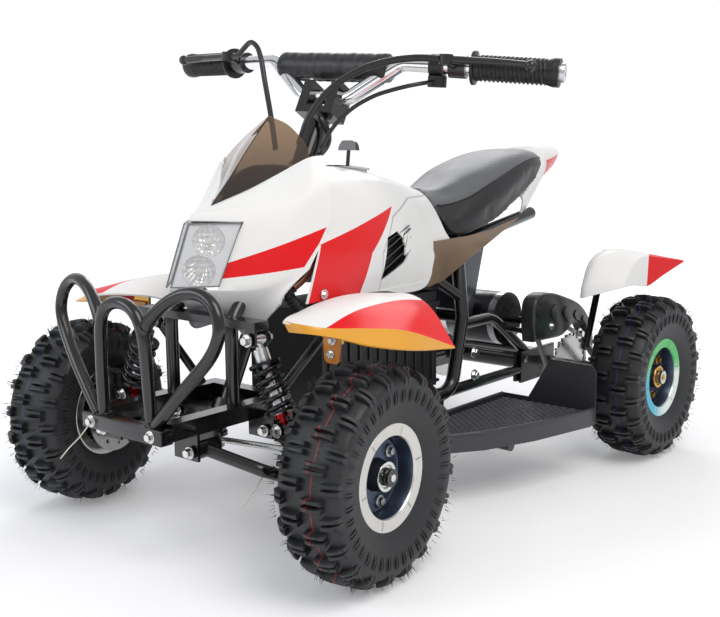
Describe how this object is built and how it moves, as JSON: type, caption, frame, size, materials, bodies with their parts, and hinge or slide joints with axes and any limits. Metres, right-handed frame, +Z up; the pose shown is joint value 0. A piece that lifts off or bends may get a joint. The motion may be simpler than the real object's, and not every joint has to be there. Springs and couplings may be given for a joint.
{
  "type": "child's electric quad bike",
  "caption": "Small four-wheeled electric ride-on bike with handlebar steering, knobby tyres, padded seat, footrests, front bumper and chain drive to a solid rear axle.",
  "frame": {"origin": "on the floor below the middle of the bike's outer box", "axes": "+X the bike's own left, -Y its front, +Z up"},
  "size_m": [0.6808, 1.067, 0.6861],
  "materials": {
    "white_plastic": "gloss moulded, red stripes",
    "dark_plastic": "grained black moulding",
    "smoked_screen": "smoked clear plastic",
    "lamp_glass": "clear lens over chromed bowl",
    "black_steel": "black powder coat",
    "grey_steel": "zinc plated",
    "chrome_bar": "polished chrome plate",
    "rim_steel": "dark blue-grey dish, bright ring",
    "rear_rim": "bright ring, tinted dish",
    "tyre_rubber": "knobby black rubber",
    "grip_rubber": "textured black rubber",
    "foam": "closed-cell foam in a soft sleeve",
    "seat_vinyl": "satin dark grey vinyl",
    "orange_metal": "orange painted plate",
    "cable_black": "black cable sleeve"
  },
  "bodies": {
    "chassis": {"frame": "black_steel", "front_bumper": "black_steel", "front_arms": "black_steel", "front_shocks": "grey_steel", "body_cover": "white_plastic", "dial": "dark_plastic", "front_cowl": "white_plastic", "headlamps": "lamp_glass", "windscreen": "smoked_screen", "seat": "seat_vinyl", "under_panel": "dark_plastic", "tail_cowl": "white_plastic", "front_fender_left": "white_plastic", "front_fender_right": "white_plastic", "rear_fender_left": "white_plastic", "rear_fender_right": "white_plastic", "fender_brackets": "orange_metal", "footrest_left": "dark_plastic", "footrest_right": "dark_plastic", "battery_box": "dark_plastic", "motor": "dark_plastic", "chain_guard": "dark_plastic", "chain": "grey_steel", "axle_carrier": "black_steel"},
    "steering": {"steering_stem": "black_steel", "handlebar": "chrome_bar", "bar_pad": "foam", "grips": "grip_rubber", "levers": "black_steel", "throttle": "dark_plastic", "cables": "cable_black"},
    "knuckle_left": {"knuckle_left": "black_steel"},
    "wheel_front_left": {"tyre_front_left": "tyre_rubber", "rim_front_left": "rim_steel", "disc_front_left": "grey_steel"},
    "tie_rod_left": {"tie_rod_left": "grey_steel"},
    "knuckle_right": {"knuckle_right": "black_steel"},
    "wheel_front_right": {"tyre_front_right": "tyre_rubber", "rim_front_right": "rim_steel", "disc_front_right": "grey_steel"},
    "tie_rod_right": {"tie_rod_right": "grey_steel"},
    "rear_axle": {"rear_axle": "grey_steel", "sprocket": "grey_steel", "rims_rear": "rear_rim", "tyre_rear_left": "tyre_rubber", "tyre_rear_right": "tyre_rubber"}
  },
  "joints": [
    {"name": "steering_turn", "type": "hinge", "parent": "chassis", "child": "steering", "pos_m": [0, -0.158, 0.562], "axis": [0, 0.454, 0.891], "range_deg": [-34, 18]},
    {"name": "kingpin_left", "type": "hinge", "parent": "chassis", "child": "knuckle_left", "pos_m": [0.188, -0.374, 0.136], "axis": [0, 0, 1], "range_deg": [-34, 18]},
    {"name": "tie_rod_turn_left", "type": "hinge", "parent": "knuckle_left", "child": "tie_rod_left", "pos_m": [0.19163, -0.42587, 0.164], "axis": [0, 0, 1], "range_deg": [-18, 34]},
    {"name": "wheel_spin_front_left", "type": "hinge", "parent": "knuckle_left", "child": "wheel_front_left", "pos_m": [0.26781, -0.36842, 0.136], "axis": [0.9976, 0.0698, 0], "continuous": true},
    {"name": "kingpin_right", "type": "hinge", "parent": "chassis", "child": "knuckle_right", "pos_m": [-0.188, -0.374, 0.136], "axis": [0, 0, 1], "range_deg": [-34, 18]},
    {"name": "tie_rod_turn_right", "type": "hinge", "parent": "knuckle_right", "child": "tie_rod_right", "pos_m": [-0.17719, -0.42486, 0.164], "axis": [0, 0, 1], "range_deg": [-18, 34]},
    {"name": "wheel_spin_front_right", "type": "hinge", "parent": "knuckle_right", "child": "wheel_front_right", "pos_m": [-0.26625, -0.39063, 0.136], "axis": [0.9781, 0.2079, 0], "continuous": true},
    {"name": "rear_axle_spin", "type": "hinge", "parent": "chassis", "child": "rear_axle", "pos_m": [0, 0.334, 0.136], "axis": [1, 0, 0], "continuous": true}
  ],
  "couplings": [
    {"joint": "kingpin_left", "follows": "steering_turn", "ratio": 1},
    {"joint": "tie_rod_turn_left", "follows": "steering_turn", "ratio": -1},
    {"joint": "kingpin_right", "follows": "steering_turn", "ratio": 1},
    {"joint": "tie_rod_turn_right", "follows": "steering_turn", "ratio": -1}
  ]
}
